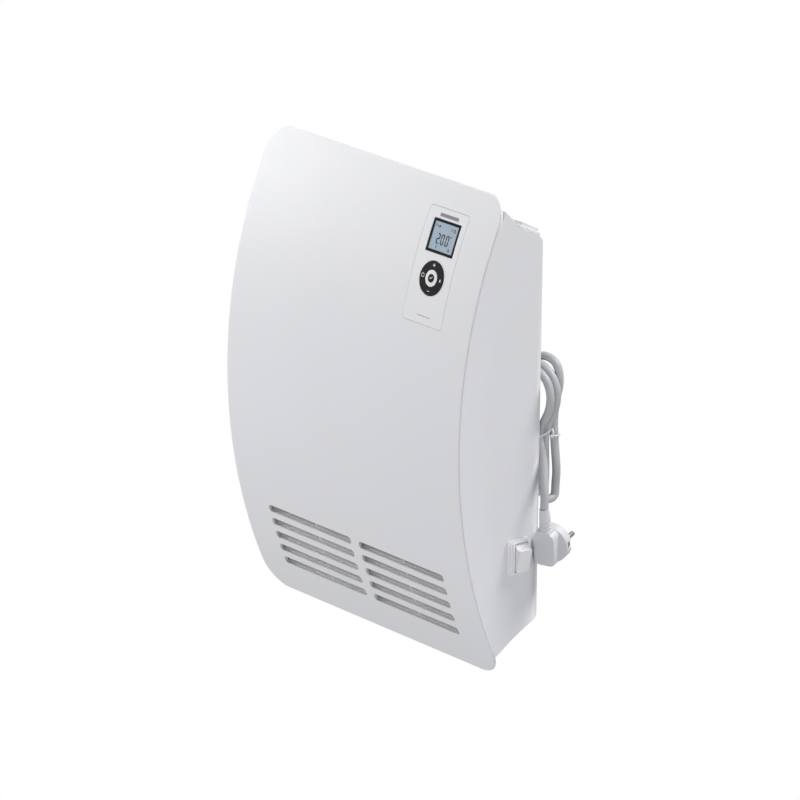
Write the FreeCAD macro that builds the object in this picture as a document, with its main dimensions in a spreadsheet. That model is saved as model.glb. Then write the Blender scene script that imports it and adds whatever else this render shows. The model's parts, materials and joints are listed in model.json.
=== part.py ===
import FreeCAD, Part
import math
import os
import re
import Sketcher
from FreeCAD import Vector

# Wall-mounted fan heater. Millimetres, +Z up, front towards -Y, +X to the viewer's right.
# The wall is the plane y = 0 and the origin is the middle of the bracket's four screw holes.

SIZES = {
    # whole heater
    "case_wide": 348, "case_high": 470, "case_deep": 142, "face_bow": 57, "wall_gap": 37,
    # front panel
    "panel_thick": 3.5, "corner_round": 28, "rim_round": 1.5,
    "slot_wide": 126, "slot_high": 7.6, "slot_pitch": 14.35, "slot_low": 37.7, "bank_gap": 11.4,
    # rear casing
    "case_wall": 2.6, "rim_lip": 2, "flare_in": 4.5, "flare_deep": 35,
    "top_over": 12, "low_over": 21, "top_run": 28, "top_drop": 20.5, "rear_drop": 14.3,
    "low_rise": 27, "rear_round": 9, "rear_open_side": 60, "rear_open_end": 36,
    # air inlet grille on the top slope
    "grille_side": 3, "grille_deep": 27.5, "grille_tier": 3.2, "grille_step": 2.2,
    "grille_slot": 3.2, "grille_bar": 2.4,
    # rear cover and wall bracket
    "cover_left": 26, "cover_right": 50, "cover_end": 14, "cover_wall": 2.4, "cover_gap": 6,
    "bracket_wide": 200, "bracket_high": 150, "bracket_thick": 2, "hole_row": 160, "hole_column": 110,
    "hole_round": 2.75, "hook_wide": 18, "hook_high": 14, "hook_apart": 90, "hook_slack": 1.5,
    # control plate, display and keys
    "fascia_wide": 55.8, "fascia_high": 104.3, "fascia_thick": 1.4, "fascia_seam": 0.35,
    "fascia_side": 69.4, "fascia_drop": 76, "fascia_round": 3.5,
    "screen_wide": 38, "screen_high": 31.5, "screen_rim": 2.4, "screen_deep": 2.2, "screen_side": 1.7,
    "screen_up": 27.7, "screen_sink": 0.4, "key_seam": 0.35,
    "ring_outer": 16.4, "ring_inner": 8.4, "ring_thick": 2.2, "ring_proud": 0.5, "ring_down": 9.5,
    "ring_side": 0.9, "okay_round": 8, "okay_proud": 0.7, "dot_round": 4, "dot_proud": 0.25,
    "carrier_thick": 4.4, "carrier_gap": 0.7, "tilt_deep": 5.2, "tilt_round": 0.7, "tilt_lug": 1.1,
    "tilt_post": 1.8, "dome_round": 2.6, "dome_high": 1.2, "key_travel": 0.6,
    "board_deep": 9, "board_thick": 1.6, "board_wide": 50, "board_high": 96,
    # rocker switch in the right side wall
    "switch_back": 25, "switch_low": 115.5, "switch_wide": 28, "switch_high": 34.5,
    "switch_plate": 2.2, "switch_step": 1.9, "switch_slack": 0.7, "switch_deep": 19,
    "rocker_wide": 15, "rocker_high": 24, "rocker_reach": 12.5, "rocker_sink": 3,
    "rocker_round": 2.5, "rocker_tilt": 14, "pivot_sink": 2, "pivot_round": 1.2,
    # tangential fan
    "fan_back": 45, "fan_low": 173, "drum_round": 29, "drum_long": 226, "drum_side": 57,
    "disc_thick": 2, "blade_thick": 0.9, "blade_deep": 5.5,
    "shaft_round": 3, "shaft_fit": 0.05, "rotor_round": 14, "rotor_gap": 0.5, "rotor_long": 20,
    "motor_side": 16, "stack_wide": 56, "stack_thick": 16, "bearing_round": 9, "bearing_long": 7,
    "duct_gap": 5, "duct_wall": 1.2, "duct_side": 4,
    # heater pack
    "frame_thick": 2, "frame_high": 14, "frame_deep": 46, "frame_under": 44,
    "wire_round": 1.5, "wire_pitch": 8.4,
    # electrics
    "power_wide": 110, "power_high": 90, "power_thick": 1.6, "power_lift": 9, "block_wide": 36,
    "block_high": 16, "block_deep": 14,
    # cord and plug
    "cord_round": 4, "gland_long": 26, "gland_wide": 14, "neck_long": 25, "neck_round": 5.4,
    "plug_round": 18.6, "plug_thick": 9, "cap_high": 12, "cap_long": 34, "cap_wide": 22,
    "neck_back": 5.5, "pin_round": 2.4, "pin_long": 19,
    "pin_apart": 19, "tie_high": 1.8, "hank_thick": 28,
    # fasteners
    "screw_head": 3.6,
}

# Values worked out from the sizes above.
DERIVED = {
    "face_radius": "(face_bow^2 + (case_high/2)^2) / (2*face_bow)",
    "axis_back": "face_radius - case_deep",
    "back_radius": "face_radius - panel_thick",
    "flare_half": "case_wide/2 - rim_lip",
    "case_half": "flare_half - flare_in",
    "top_start": "case_high/2 - top_over",
    "low_start": "-case_high/2 + low_over",
    "top_start_back": "axis_back - sqrt(back_radius^2 - top_start^2)",
    "low_start_back": "axis_back - sqrt(back_radius^2 - low_start^2)",
    "rear_plane": "-wall_gap",
    "rear_top": "top_start - top_drop - rear_drop",
    "rear_low": "low_start + low_rise",
    "fascia_up": "case_high/2 - fascia_drop",
    "fascia_middle": "case_wide/2 - fascia_side",
    "screen_angle": "asin((fascia_up + screen_up)/face_radius)",
    "ring_angle": "asin((fascia_up - ring_down)/face_radius)",
    "board_angle": "asin(fascia_up/face_radius)",
    "dome_reach": "(ring_outer + ring_inner)/2",
    "dome_step": "asin(dome_reach/face_radius)",
    "fan_y": "-wall_gap - fan_back",
    "fan_z": "-case_high/2 + fan_low",
    "drum_start": "-case_half + drum_side",
    "switch_y": "-wall_gap - switch_back",
    "switch_z": "-case_high/2 + switch_low",
    "frame_z": "fan_z - frame_under - frame_high",
    "cover_plane": "-cover_gap",
    "cover_x": "-case_half + cover_left",
    "cover_span": "2*case_half - cover_left - cover_right",
    "cover_z": "rear_low + cover_end",
    "cover_rise": "rear_top - rear_low - 2*cover_end",
}

doc = FreeCAD.newDocument("FanHeater")
dims = doc.addObject("Spreadsheet::Sheet", "Dims")
calc = doc.addObject("App::VarSet", "Calc")
nodes = []
OWNER = {}


def full(text):
    """Name the object that holds each size in an expression."""
    return re.sub(r"[a-z]+_[a-z_]+", lambda word: OWNER[word[0]] + "." + word[0], str(text))


def value(text):
    """The number that an expression gives now."""
    answer = dims.evalExpression(full(text))
    return float(getattr(answer, "Value", answer))


def bind(item, **settings):
    """Bind properties to expressions; a double underscore stands for a dot."""
    for name, text in settings.items():
        item.setExpression(name.replace("__", "."), full(text))
    return item


def fill_sheets():
    """Write the sizes as sheet cells and the derived values as bound properties."""
    for row, (name, size) in enumerate(SIZES.items(), start=1):
        dims.set(f"A{row}", name)
        dims.set(f"B{row}", str(size))
        dims.setAlias(f"B{row}", name)
        OWNER[name] = "Dims"
    doc.recompute()
    for name, text in DERIVED.items():
        calc.addProperty("App::PropertyFloat", name)
        calc.setExpression(name, full(text))
        OWNER[name] = "Calc"
        doc.recompute()


def place(item, x=0, y=0, z=0, axis=None, angle=0):
    """Bind an object's Placement to expressions."""
    bind(item, Placement__Base__x=x, Placement__Base__y=y, Placement__Base__z=z)
    if axis:
        item.Placement.Rotation = FreeCAD.Rotation(Vector(*axis), 0)
        turn = Vector(*axis)
        bind(item, Placement__Rotation__Axis__x=turn.x, Placement__Rotation__Axis__y=turn.y,
             Placement__Rotation__Axis__z=turn.z, Placement__Rotation__Angle=angle)
    return item


def on_face(item, x, angle, out):
    """Stand an object on the curved face: its Z outward, its Y up along the face."""
    reach = f"(face_radius + {out})"
    return place(item, x, f"axis_back - {reach}*cos({angle})", f"{reach}*sin({angle})",
                 (1, 0, 0), f"90 - {angle}")


def keep(item, name):
    """Give a finished sub-part its node name."""
    item.Label = name
    nodes.append(item)
    return item


def box(name, long, deep, high, **where):
    item = bind(doc.addObject("Part::Box", name), Length=long, Width=deep, Height=high)
    return place(item, **where)


def rod(name, radius, long, **where):
    item = bind(doc.addObject("Part::Cylinder", name), Radius=radius, Height=long)
    return place(item, **where)


def cross_rod(name, radius, x, y, z, long):
    """Cylinder along X that starts at the given point."""
    return rod(name, radius, long, x=x, y=y, z=z, axis=(0, 1, 0), angle="90")


def cut(name, base, tool):
    item = doc.addObject("Part::Cut", name)
    item.Base, item.Tool = base, tool
    return item


def common(name, first, second):
    item = doc.addObject("Part::Common", name)
    item.Base, item.Tool = first, second
    return item


def join(name, parts):
    item = doc.addObject("Part::MultiFuse", name)
    item.Shapes = parts
    return item


def group(name, parts):
    """Several separate solids of one kind as one node."""
    item = doc.addObject("Part::Compound", name)
    item.Links = parts
    return item


def body(name, **where):
    return place(doc.addObject("PartDesign::Body", name), **where)


def origin_plane(owner, role):
    return [item for item in owner.Origin.OriginFeatures if item.Role == role][0]


def lock(sketch, kind, element, point, text):
    """Hold one coordinate of a sketch point at an expression's value."""
    index = sketch.addConstraint(Sketcher.Constraint(kind, -1, 1, element, point, value(text)))
    sketch.setExpression(f"Constraints[{index}]", full(text))


def sketch_on(owner, name, role, offset=None):
    sketch = owner.newObject("Sketcher::SketchObject", name)
    sketch.AttachmentSupport = [(origin_plane(owner, role), "")]
    sketch.MapMode = "FlatFace"
    if offset is not None:
        bind(sketch, AttachmentOffset__Base__z=offset)
    return sketch


def draw_loop(sketch, points):
    """Closed run of straight sides through locked points."""
    spots = [Vector(value(u), value(v), 0) for u, v in points]
    first = sketch.GeometryCount
    count = len(spots)
    for number in range(count):
        sketch.addGeometry(Part.LineSegment(spots[number], spots[(number + 1) % count]), False)
    for number in range(count):
        following = first + (number + 1) % count
        sketch.addConstraint(Sketcher.Constraint("Coincident", first + number, 2, following, 1))
    for number, (u, v) in enumerate(points):
        lock(sketch, "DistanceX", first + number, 1, u)
        lock(sketch, "DistanceY", first + number, 1, v)
    return sketch


def draw_circle(sketch, u, v, radius):
    middle = Vector(value(u), value(v), 0)
    index = sketch.addGeometry(Part.Circle(middle, Vector(0, 0, 1), value(radius)), False)
    lock(sketch, "DistanceX", index, 3, u)
    lock(sketch, "DistanceY", index, 3, v)
    size = sketch.addConstraint(Sketcher.Constraint("Radius", index, value(radius)))
    sketch.setExpression(f"Constraints[{size}]", full(radius))
    return sketch


def rectangle(u, v, wide, high):
    """Corner points of a rectangle from its lower left corner."""
    return [(u, v), (f"{u} + {wide}", v), (f"{u} + {wide}", f"{v} + {high}"), (u, f"{v} + {high}")]


def centred(wide, high, u="0", v="0"):
    return rectangle(f"{u} - ({wide})/2", f"{v} - ({high})/2", wide, high)


def feature(owner, kind, name, sketch, length, midplane=False, turned=False):
    item = owner.newObject("PartDesign::" + kind, name)
    item.Profile = sketch
    bind(item, Length=length)
    item.Midplane = midplane
    item.Reversed = turned
    return item


def pick_edges(solid, test):
    """Names of the edges whose ends and middle all pass a test."""
    doc.recompute()
    names = []
    for number, edge in enumerate(solid.Shape.Edges, start=1):
        middle = edge.valueAt((edge.FirstParameter + edge.LastParameter) / 2)
        if all(test(spot) for spot in [vertex.Point for vertex in edge.Vertexes] + [middle]):
            names.append(f"Edge{number}")
    return names


def round_edges(owner, name, base, radius, test):
    """Fillet the edges of a feature that a test picks."""
    chosen = pick_edges(base, test)
    item = owner.newObject("PartDesign::Fillet", name)
    item.Base = (base, chosen)
    return bind(item, Radius=radius)


def prism(name, role, wide, high, deep, radius, **where):
    """Rectangular prism centred on its own origin with its four long edges rounded."""
    owner = body(name, **where)
    sketch = draw_loop(sketch_on(owner, name + "Outline", role), centred(wide, high))
    pad = feature(owner, "Pad", name + "Pad", sketch, deep)
    across = {"XY_Plane": "z", "XZ_Plane": "y", "YZ_Plane": "x"}[role]
    doc.recompute()
    spread = value(deep) / 2
    middle = getattr(pad.Shape.BoundBox.Center, across)

    def long_edge(number):
        edge = pad.Shape.Edges[number]
        box_of = edge.BoundBox
        size = {"x": box_of.XLength, "y": box_of.YLength, "z": box_of.ZLength}[across]
        centre = getattr(box_of.Center, across)
        return size > spread and abs(centre - middle) < spread / 2

    names = [f"Edge{number + 1}" for number in range(len(pad.Shape.Edges)) if long_edge(number)]
    fillet = owner.newObject("PartDesign::Fillet", name + "Round")
    fillet.Base = (pad, names)
    bind(fillet, Radius=radius)
    return owner


def face_layer(name, inner, outer, wide):
    """Layer of the curved front between two radii about the face's axis."""
    big = cross_rod(name + "Outer", outer, f"-({wide})/2", "axis_back", "0", wide)
    small = cross_rod(name + "Inner", inner, f"-({wide})/2 - 1", "axis_back", "0", f"{wide} + 2")
    return cut(name, big, small)


def make_front_panel():
    """Curved plate with the outlet slots, the control recess and its openings."""
    layer = face_layer("PanelLayer", "back_radius", "face_radius", "case_wide")
    block = prism("PanelBlock", "XZ_Plane", "case_wide", "case_high", "case_deep + 10", "corner_round")
    plate = common("PanelPlate", layer, block)
    doc.recompute()
    thick = value("panel_thick")
    rims = [(number, value("rim_round"), value("rim_round"))
            for number, edge in enumerate(plate.Shape.Edges, start=1) if edge.Length > 1.5 * thick]
    rounded = doc.addObject("Part::Fillet", "PanelRounded")
    rounded.Base = plate
    rounded.Edges = rims
    slots = []
    for bank, side in enumerate(("-bank_gap/2 - slot_wide", "bank_gap/2")):
        for row in range(5):
            low = f"-case_high/2 + slot_low + {row}*slot_pitch"
            slots.append(stadium(f"Slot{bank}{row}", side, low))
    recess = common("Recess", face_layer("RecessLayer", "face_radius - fascia_thick", "face_radius + 5",
                                         "case_wide"),
                    prism("RecessBlock", "XZ_Plane", "fascia_wide + 2*fascia_seam",
                          "fascia_high + 2*fascia_seam", "case_deep + 10",
                          "fascia_round + fascia_seam", x="fascia_middle", z="fascia_up"))
    screen_hole = on_face(prism("PanelScreenHole", "XY_Plane", "screen_wide + 2*key_seam",
                                "screen_high + 2*key_seam", "3*panel_thick", "0.8"),
                          "fascia_middle + screen_side", "screen_angle", "-2*panel_thick")
    ring_hole = on_face(bind(doc.addObject("Part::Cylinder", "PanelRingHole"),
                             Radius="ring_outer + key_seam", Height="3*panel_thick"),
                        "fascia_middle + ring_side", "ring_angle", "-2*panel_thick")
    tools = join("PanelTools", slots + [recess, screen_hole, ring_hole])
    keep(cut("FrontPanel", rounded, tools), "front_panel")


def stadium(name, x, z):
    """Slot cutter with round ends, along Y, from its left end and its middle height."""
    deep = "case_deep + 20"
    bar = box(name + "Bar", "slot_wide - slot_high", deep, "slot_high",
              x=f"{x} + slot_high/2", y=f"-({deep})", z=f"{z} - slot_high/2")
    ends = [rod(f"{name}End{number}", "slot_high/2", deep, x=place_x, y="0", z=z, axis=(1, 0, 0),
                angle="90")
            for number, place_x in enumerate((f"{x} + slot_high/2", f"{x} + slot_wide - slot_high/2"))]
    return join(name, [bar] + ends)


def casing_outline(owner, name, inset):
    """Side outline of the casing, moved in by the wall, open towards the panel when inset."""
    sketch = sketch_on(owner, name, "YZ_Plane")
    forward = "0" if inset == "0" else "3*case_wall"
    radius = value(f"back_radius + {forward}")
    top_slope = "(top_drop/(rear_plane - top_run - top_start_back))"
    low_slope = "(low_rise/(rear_plane - low_start_back))"
    rear_slope = "(rear_drop/top_run)"
    top_y = f"(top_start_back - {forward})"
    low_y = f"(low_start_back - {forward})"
    top_in = f"{inset}*sqrt(1 + {top_slope}^2)"
    low_in = f"{inset}*sqrt(1 + {low_slope}^2)"
    rear_in = f"{inset}*sqrt(1 + {rear_slope}^2)"
    points = [(top_y, f"top_start + {forward}*{top_slope} - {top_in}"),
              ("rear_plane - top_run", f"top_start - top_drop - {rear_in}"),
              (f"rear_plane - {inset}", f"rear_top + {inset}*{rear_slope} - {rear_in}"),
              (f"rear_plane - {inset}", f"rear_low - {inset}*{low_slope} + {low_in}"),
              (low_y, f"low_start - {forward}*{low_slope} + {low_in}")]
    spots = [Vector(value(u), value(v), 0) for u, v in points]
    for start, end in zip(spots, spots[1:]):
        sketch.addGeometry(Part.LineSegment(start, end), False)
    bulge = Vector(value("axis_back") - radius, 0, 0)
    sketch.addGeometry(Part.Arc(spots[0], bulge, spots[-1]), False)
    for number in range(3):
        sketch.addConstraint(Sketcher.Constraint("Coincident", number, 2, number + 1, 1))
    ends = (1, 2) if sketch.Geometry[4].StartPoint.distanceToPoint(spots[0]) < 1 else (2, 1)
    sketch.addConstraint(Sketcher.Constraint("Coincident", 0, 1, 4, ends[0]))
    sketch.addConstraint(Sketcher.Constraint("Coincident", 3, 2, 4, ends[1]))
    for number, (u, v) in enumerate(points[:4]):
        lock(sketch, "DistanceX", number, 1, u)
        lock(sketch, "DistanceY", number, 1, v)
    lock(sketch, "DistanceX", 3, 2, points[4][0])
    lock(sketch, "DistanceY", 3, 2, points[4][1])
    size = sketch.addConstraint(Sketcher.Constraint("Radius", 4, radius))
    sketch.setExpression(f"Constraints[{size}]", full(f"back_radius + {forward}"))
    return sketch


def casing_core(name, half, inset, rear_radius):
    """Solid block of the casing's outer or inner shape, its long rear corners rounded."""
    owner = body(name)
    pad = feature(owner, "Pad", name + "Pad", casing_outline(owner, name + "Side", inset),
                  f"2*({half})", midplane=True)
    rear = value(f"rear_plane - {inset}")
    round_edges(owner, name + "Rear", pad, rear_radius,
                lambda spot: abs(spot.y - rear) < 0.01 and abs(spot.z) > value("rear_top") / 2)
    return owner


def flare_groove(owner):
    """Widen the sides towards the panel with a turned cut about the face's axis."""
    sketch = sketch_on(owner, "FlareOutline", "XY_Plane")
    front = "(-case_deep + panel_thick)"
    draw_loop(sketch, [("flare_half", f"{front} - 2"), ("flare_half", front),
                       ("case_half + flare_in*0.22", f"{front} + flare_deep*0.72"),
                       ("case_half", f"{front} + flare_deep*1.15"), ("case_half", "5"),
                       ("case_half + 40", "5"), ("case_half + 40", f"{front} - 2")])
    axis = sketch.addGeometry(Part.LineSegment(Vector(0, value("axis_back"), 0),
                                               Vector(50, value("axis_back"), 0)), True)
    for end, across in ((1, "0"), (2, "50")):
        lock(sketch, "DistanceX", axis, end, across)
        lock(sketch, "DistanceY", axis, end, "axis_back")
    groove = owner.newObject("PartDesign::Groove", "FlareGroove")
    groove.Profile = sketch
    groove.ReferenceAxis = (sketch, ["Axis0"])
    groove.Midplane = True
    groove.Angle = 80
    mirror = owner.newObject("PartDesign::Mirrored", "FlareOther")
    mirror.Originals = [groove]
    mirror.MirrorPlane = (origin_plane(owner, "YZ_Plane"), [""])
    owner.Tip = mirror
    return mirror


def make_rear_casing():
    """Hood behind the panel: thin walls, a window for the switch, the grille and the rear cover."""
    outer = casing_core("CasingOuter", "flare_half", "0", "rear_round")
    flared = flare_groove(outer)
    doc.recompute()
    whole = flared.Shape.Volume
    inner = casing_core("CasingInner", "case_half - case_wall", "case_wall",
                        "rear_round - case_wall")
    wide = "2*case_half - 2*rear_open_side"
    window = box("RearWindow", wide, "3*case_wall", "rear_top - rear_low - 2*rear_open_end",
                 x=f"-({wide})/2", y="rear_plane - 2*case_wall", z="rear_low + rear_open_end")
    switch = box("SwitchWindow", "6*case_wall", "switch_wide - 2", "switch_high - 2",
                 x="case_half - 3*case_wall", y="switch_y - switch_wide/2 + 1",
                 z="switch_z - switch_high/2 + 1")
    inlet = grille_block("InletWindow", "grille_side + 4", "grille_deep - 6", "-4*case_wall",
                         "8*case_wall")
    tools = join("CasingTools", [inner, window, switch, inlet])
    casing = cut("RearCasing", outer, tools)
    doc.recompute()
    if casing.Shape.Volume > 0.3 * whole:
        raise ValueError("the casing is not hollow")
    keep(casing, "rear_casing")


def grille_block(name, side, deep, low, high):
    """Box on the rear top slope, from the slope's surface along its normal."""
    slope = "atan(rear_drop/top_run)"
    run = "sqrt(rear_drop^2 + top_run^2)"
    start = f"({run} - ({deep}))/2"
    return box(name, f"2*case_half - 2*({side})", deep, high, x=f"-(case_half - ({side}))",
               y=f"rear_plane - top_run + {start}*cos({slope}) + ({low})*sin({slope})",
               z=f"top_start - top_drop - {start}*sin({slope}) + ({low})*cos({slope})",
               axis=(1, 0, 0), angle=f"-{slope}")


def make_inlet_grille():
    """Two raised tiers on the top slope with slots along the heater's width."""
    tiers = [grille_block("GrilleTierLow", "grille_side", "grille_deep", "0.02", "grille_tier"),
             grille_block("GrilleTierHigh", "grille_side + grille_step",
                          "grille_deep - 2*grille_step", "0.02", "2*grille_tier")]
    slots = []
    for number in range(3):
        bar = grille_block(f"GrilleSlot{number}", "grille_side + 4*grille_step", "grille_slot", "-2",
                           "6*grille_tier")
        slope = "atan(rear_drop/top_run)"
        run = "sqrt(rear_drop^2 + top_run^2)"
        start = f"(({run} - grille_slot)/2 + {number - 1}*(grille_slot + grille_bar))"
        place(bar, "-(case_half - grille_side - 4*grille_step)",
              f"rear_plane - top_run + {start}*cos({slope}) + (-2)*sin({slope})",
              f"top_start - top_drop - {start}*sin({slope}) + (-2)*cos({slope})",
              (1, 0, 0), f"-{slope}")
        slots.append(bar)
    keep(cut("InletGrille", join("GrilleTiers", tiers), join("GrilleSlots", slots)), "inlet_grille")


def make_outlet_louvre():
    """Slanted vanes behind the slots, held by upright ribs that follow the panel."""
    vanes = []
    for row in range(5):
        low = f"(-case_high/2 + slot_low + {row}*slot_pitch)"
        front = f"(axis_back - sqrt((back_radius - 2)^2 - {low}^2))"
        vanes.append(box(f"Vane{row}", "2*slot_wide + bank_gap + 4", "15", "1.5",
                         x="-(slot_wide + bank_gap/2 + 2)", y=front, z=f"{low} - slot_high/2 - 0.5",
                         axis=(1, 0, 0), angle="32"))
    layer = face_layer("RibLayer", "back_radius - 14", "back_radius - 1.9", "case_wide")
    spans = []
    for number, middle in enumerate(("-slot_wide - bank_gap/2 - 1", "-slot_wide/2 - bank_gap/2 + 2.7",
                                     "0", "slot_wide/2 + bank_gap/2 - 2.7",
                                     "slot_wide + bank_gap/2 + 1")):
        thick = "bank_gap - 3" if number == 2 else "1.8"
        spans.append(box(f"RibSpan{number}", thick, "case_deep", "4*slot_pitch + 2*slot_high",
                         x=f"{middle} - ({thick})/2", y="-case_deep",
                         z="-case_high/2 + slot_low - slot_high"))
    ribs = common("Ribs", layer, join("RibSpans", spans))
    keep(join("OutletLouvre", vanes + [ribs]), "outlet_louvre")


def make_rear_cover():
    """Inset tray behind the casing that holds the works and hangs on the bracket."""
    outer = prism("CoverOuter", "XZ_Plane", "cover_span", "cover_rise", "wall_gap - cover_gap", "8",
                  x="cover_x + cover_span/2", y="cover_plane", z="cover_z + cover_rise/2")
    inner = prism("CoverInner", "XZ_Plane", "cover_span - 2*cover_wall", "cover_rise - 2*cover_wall",
                  "wall_gap - cover_gap", "6", x="cover_x + cover_span/2",
                  y="cover_plane - cover_wall", z="cover_z + cover_rise/2")
    slots = [box(f"HookSlot{number}", "hook_wide + 2*hook_slack", "4*cover_wall", "hook_high + 8",
                 x=f"{side}*hook_apart/2 - hook_wide/2 - hook_slack", y="cover_plane - 2*cover_wall",
                 z="bracket_high/2 - 24")
             for number, side in enumerate((-1, 1))]
    keep(cut("RearCover", outer, join("CoverTools", [inner] + slots)), "rear_cover")


def make_wall_bracket():
    """Flat plate with four screw holes and two hooks."""
    plate = prism("BracketPlate", "XZ_Plane", "bracket_wide", "bracket_high", "bracket_thick", "6")
    holes = []
    for number, (side, rise) in enumerate(((-1, -1), (1, -1), (-1, 1), (1, 1))):
        holes.append(rod(f"BracketHole{number}", "hole_round", "6*bracket_thick",
                         x=f"{side}*hole_row/2", y="3*bracket_thick", z=f"{rise}*hole_column/2",
                         axis=(1, 0, 0), angle="90"))
    hooks = []
    for number, side in enumerate((-1, 1)):
        left = f"{side}*hook_apart/2 - hook_wide/2"
        reach = "cover_gap + cover_wall + 3"
        hooks.append(box(f"HookArm{number}", "hook_wide", reach, "bracket_thick", x=left,
                         y=f"-({reach})", z="bracket_high/2 - 22"))
        hooks.append(box(f"HookLip{number}", "hook_wide", "bracket_thick", "hook_high - 4", x=left,
                         y=f"-({reach})", z="bracket_high/2 - 22"))
    keep(cut("WallBracket", join("BracketSolid", [plate] + hooks), join("BracketHoles", holes)),
         "wall_bracket")


def make_fascia():
    """Thin control plate, flush in its recess, open for the display and the keys."""
    layer = face_layer("FasciaLayer", "face_radius - fascia_thick", "face_radius", "case_wide")
    block = prism("FasciaBlock", "XZ_Plane", "fascia_wide", "fascia_high", "case_deep + 10",
                  "fascia_round", x="fascia_middle", z="fascia_up")
    screen = on_face(prism("FasciaScreenHole", "XY_Plane", "screen_wide + 2*key_seam",
                           "screen_high + 2*key_seam", "12", "0.8"),
                     "fascia_middle + screen_side", "screen_angle", "-6")
    ring = on_face(bind(doc.addObject("Part::Cylinder", "FasciaRingHole"),
                        Radius="ring_outer + key_seam", Height="12"),
                   "fascia_middle + ring_side", "ring_angle", "-6")
    keep(cut("ControlPlate", common("FasciaSheet", layer, block), join("FasciaHoles", [screen, ring])),
         "control_plate")


def make_display():
    """Black window frame with the display glass sunk in it."""
    outer = prism("ScreenOuter", "XY_Plane", "screen_wide", "screen_high", "screen_deep", "0.6")
    hole = prism("ScreenHole", "XY_Plane", "screen_wide - 2*screen_rim", "screen_high - 2*screen_rim",
                 "4*screen_deep", "0.4", z="-2*screen_deep")
    frame = cut("ScreenFrame", outer, hole)
    keep(on_face(frame, "fascia_middle + screen_side", "screen_angle", "-screen_deep - 0.05"),
         "display_frame")
    glass = prism("ScreenGlass", "XY_Plane", "screen_wide - 2*screen_rim - 0.1",
                  "screen_high - 2*screen_rim - 0.1", "screen_deep - screen_sink", "0.35")
    keep(on_face(glass, "fascia_middle + screen_side", "screen_angle", "-screen_deep - 0.05"),
         "display_glass")


def washer(name, outer, inner, thick):
    """Flat ring standing on its own XY plane."""
    owner = body(name)
    sketch = sketch_on(owner, name + "Outline", "XY_Plane")
    draw_circle(sketch, "0", "0", outer)
    draw_circle(sketch, "0", "0", inner)
    feature(owner, "Pad", name + "Pad", sketch, thick)
    return owner


def disc(name, radius, thick):
    owner = body(name)
    sketch = draw_circle(sketch_on(owner, name + "Outline", "XY_Plane"), "0", "0", radius)
    feature(owner, "Pad", name + "Pad", sketch, thick)
    return owner


def make_keys():
    """Four-way ring on its tilting carrier, and the confirming key with its black middle."""
    spot = ("fascia_middle + ring_side", "ring_angle")
    back = "ring_proud - ring_thick"
    level = f"-tilt_deep - ({back})"
    ring = washer("KeyRing", "ring_outer", "ring_inner", "ring_thick")
    lugs = [box(f"RingLug{side}", "3", "tilt_lug", f"-({level}) + 2*tilt_round + 0.1", x="-1.5",
                y=f"{side}*(ring_outer - 0.2 - tilt_lug/2) - tilt_lug/2",
                z=f"{level} - 2*tilt_round") for side in (-1, 1)]
    bore = rod("LugBore", "tilt_round + shaft_fit", "3*ring_outer", y="1.5*ring_outer", z=level,
               axis=(1, 0, 0), angle="90")
    tilting = join("RingSolid", [ring, cut("RingLugs", join("LugPair", lugs), bore)])
    keep(on_face(tilting, *spot, back), "key_ring")
    low = f"{back} - carrier_gap - carrier_thick"
    carrier = washer("KeyCarrier", "ring_outer - 1.5", "ring_inner + 0.6", "carrier_thick")
    pins = [rod(f"TiltPin{number}", "tilt_round", "2.2", x=f"{across}*(ring_outer - 2.5)",
                y=f"{along}*(ring_outer - 2.5)", z=f"-tilt_deep - ({low})",
                axis=(-along, across, 0), angle="90")
            for number, (across, along) in enumerate(((1, 0), (-1, 0), (0, 1), (0, -1)))]
    keep(on_face(join("TiltCarrier", [carrier] + pins), *spot, low), "key_carrier")
    cap = disc("OkayCap", "okay_round", "ring_thick")
    stem = disc("OkayStem", "2", "board_deep - dome_high - key_travel - 0.3")
    stem_low = "okay_proud - (board_deep - dome_high - key_travel - 0.3)"
    whole = join("OkayKey", [on_face(cap, *spot, "okay_proud - ring_thick"),
                             on_face(stem, *spot, f"{stem_low} - 0.2")])
    keep(whole, "okay_key")
    dot = disc("OkayDot", "dot_round", "dot_proud")
    keep(on_face(dot, *spot, "okay_proud"), "okay_dot")


def make_control_board():
    """Board behind the control plate with five dome switches."""
    board = prism("ControlBoard", "XY_Plane", "board_wide", "board_high", "board_thick", "2")
    on_face(board, "fascia_middle", "board_angle", "-board_deep - board_thick")
    posts = [box(f"TiltPost{side}", "tilt_post", "3.2", "board_deep - tilt_deep + 2*tilt_round + 0.3",
                 x=f"{side}*(ring_outer - 1.2 + tilt_post/2) - tilt_post/2", y="-1.6", z="-0.3")
             for side in (-1, 1)]
    bore = cross_rod("PostBore", "tilt_round + shaft_fit", "-1.5*ring_outer", "0",
                     "board_deep - tilt_deep", "3*ring_outer")
    stand = on_face(cut("TiltPosts", join("PostPair", posts), bore), "fascia_middle + ring_side",
                    "ring_angle", "-board_deep")
    keep(join("KeyBoard", [board, stand]), "control_board")
    domes = []
    for number, (side, rise) in enumerate(((0, 0), (1, 0), (-1, 0), (0, 1), (0, -1))):
        dome = rod(f"Dome{number}", "dome_round", "dome_high")
        angle = f"(ring_angle + {rise}*dome_step)"
        board_face = f"(face_radius - board_deep)/cos({angle} - board_angle) - face_radius"
        on_face(dome, f"fascia_middle + ring_side + {side}*dome_reach", angle, f"{board_face} + 0.15")
        domes.append(dome)
    keep(group("DomeSwitches", domes), "dome_switches")


def switch_block(name, wide, high, start, deep, radius):
    """Rounded block on the side wall, from a distance outside the wall's face."""
    return prism(name, "YZ_Plane", wide, high, deep, radius, x=f"case_half + {start}", y="switch_y",
                 z="switch_z")


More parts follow.
